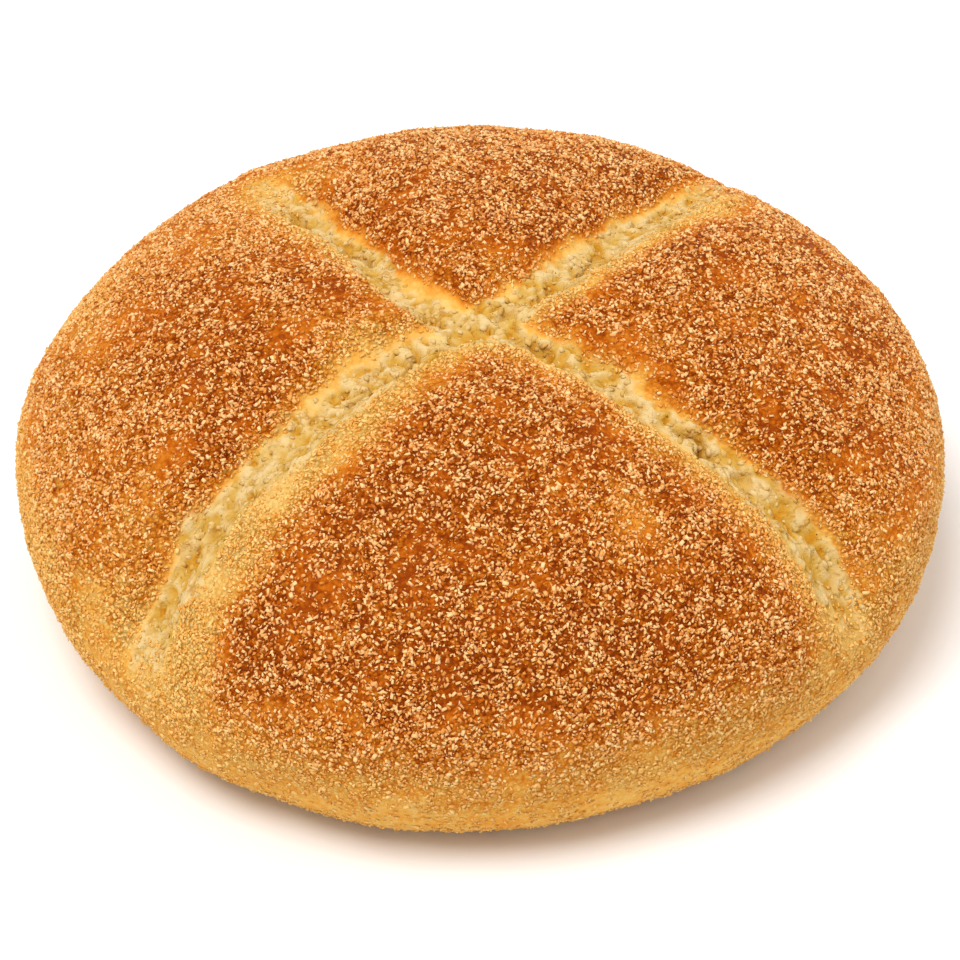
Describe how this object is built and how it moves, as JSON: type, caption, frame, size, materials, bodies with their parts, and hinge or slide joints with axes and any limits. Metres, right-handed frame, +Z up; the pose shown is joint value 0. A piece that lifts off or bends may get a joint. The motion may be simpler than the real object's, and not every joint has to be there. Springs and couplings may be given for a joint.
{
  "type": "bread roll",
  "caption": "Round bread roll, flat underneath, its brown dusted crust split by a deep cross that shows pale torn crumb.",
  "frame": {"origin": "centre of the roll's outline, on the flat underside", "axes": "+Z up out of the crown; -Y towards the camera of the picture; the arms of the cross lie between the X and Y axes"},
  "size_m": [0.1116, 0.1103, 0.0442],
  "materials": {
    "baked_crust": "matt baked crust, reddish brown on the pillows, golden at the sides and pale yellow in the cut, rough with semolina grit"
  },
  "bodies": {
    "root": {"bread_roll": "baked_crust"}
  },
  "joints": []
}
